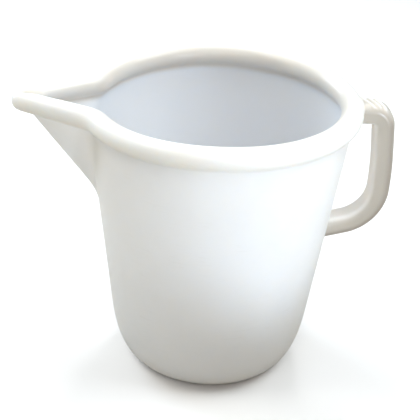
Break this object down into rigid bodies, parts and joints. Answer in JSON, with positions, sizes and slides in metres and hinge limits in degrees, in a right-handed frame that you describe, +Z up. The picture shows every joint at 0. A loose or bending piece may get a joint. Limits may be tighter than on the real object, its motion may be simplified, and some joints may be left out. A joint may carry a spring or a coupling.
{
  "type": "measuring pitcher",
  "caption": "Open tapered round pitcher moulded in one piece, with a rounded base, a thick rim bead, a long V-shaped pouring spout and a D-shaped handle with thumb ridges.",
  "frame": {"origin": "middle of the flat base, on the surface that the pitcher stands on", "axes": "+Z up along the vessel's axis, -X towards the spout, +X towards the handle; the XZ plane is the pitcher's mirror plane"},
  "size_m": [0.2539, 0.1862, 0.1979],
  "materials": {
    "white plastic": "off-white moulded plastic, satin gloss, slightly translucent"
  },
  "bodies": {
    "root": {"pitcher": "white plastic"}
  },
  "joints": []
}
